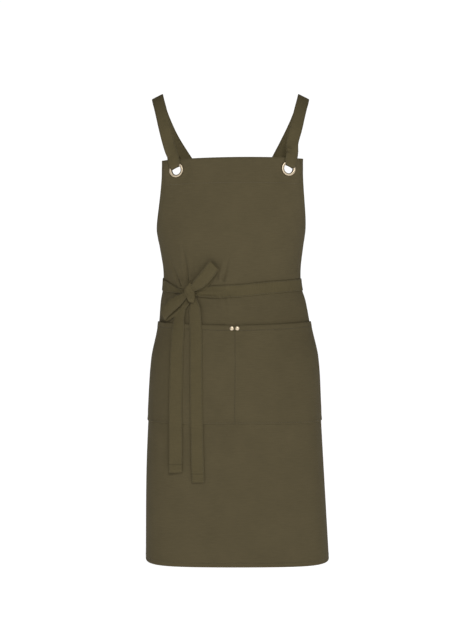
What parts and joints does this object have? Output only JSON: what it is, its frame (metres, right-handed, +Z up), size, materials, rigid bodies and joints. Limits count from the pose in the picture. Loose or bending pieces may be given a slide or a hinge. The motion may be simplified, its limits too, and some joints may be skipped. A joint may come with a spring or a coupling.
{
  "type": "cross back apron",
  "caption": "Olive twill cross back apron in its worn form, with straps looped through bib eyelets, a wide patch pocket and a waist tie knotted in a bow at the front",
  "frame": {"origin": "midway between the tops of the two shoulders, where the straps rest on them", "axes": "+Z up, the front of the apron faces -Y, +X to the right as seen from the front"},
  "size_m": [0.4186, 0.2588, 1.06],
  "materials": {
    "olive_twill": "matte cotton twill with a fine diagonal rib",
    "olive_tape": "the same twill folded and edge-stitched as tape",
    "antique_brass": "pale antique brass, polished on the crowns and dark in the hollows"
  },
  "bodies": {
    "root": {"apron_panel": "olive_twill", "bib_facing": "olive_twill", "pocket": "olive_twill", "shoulder_strap_left": "olive_tape", "shoulder_strap_right": "olive_tape", "side_loop_left": "olive_tape", "side_loop_right": "olive_tape", "waist_tie_left": "olive_tape", "waist_tie_right": "olive_tape", "bow_knot": "olive_tape", "bow_loop_upper": "olive_tape", "bow_loop_lower": "olive_tape", "tie_tail_left": "olive_tape", "tie_tail_right": "olive_tape", "eyelet_left": "antique_brass", "eyelet_right": "antique_brass", "rivet_left": "antique_brass", "rivet_right": "antique_brass"}
  },
  "joints": []
}
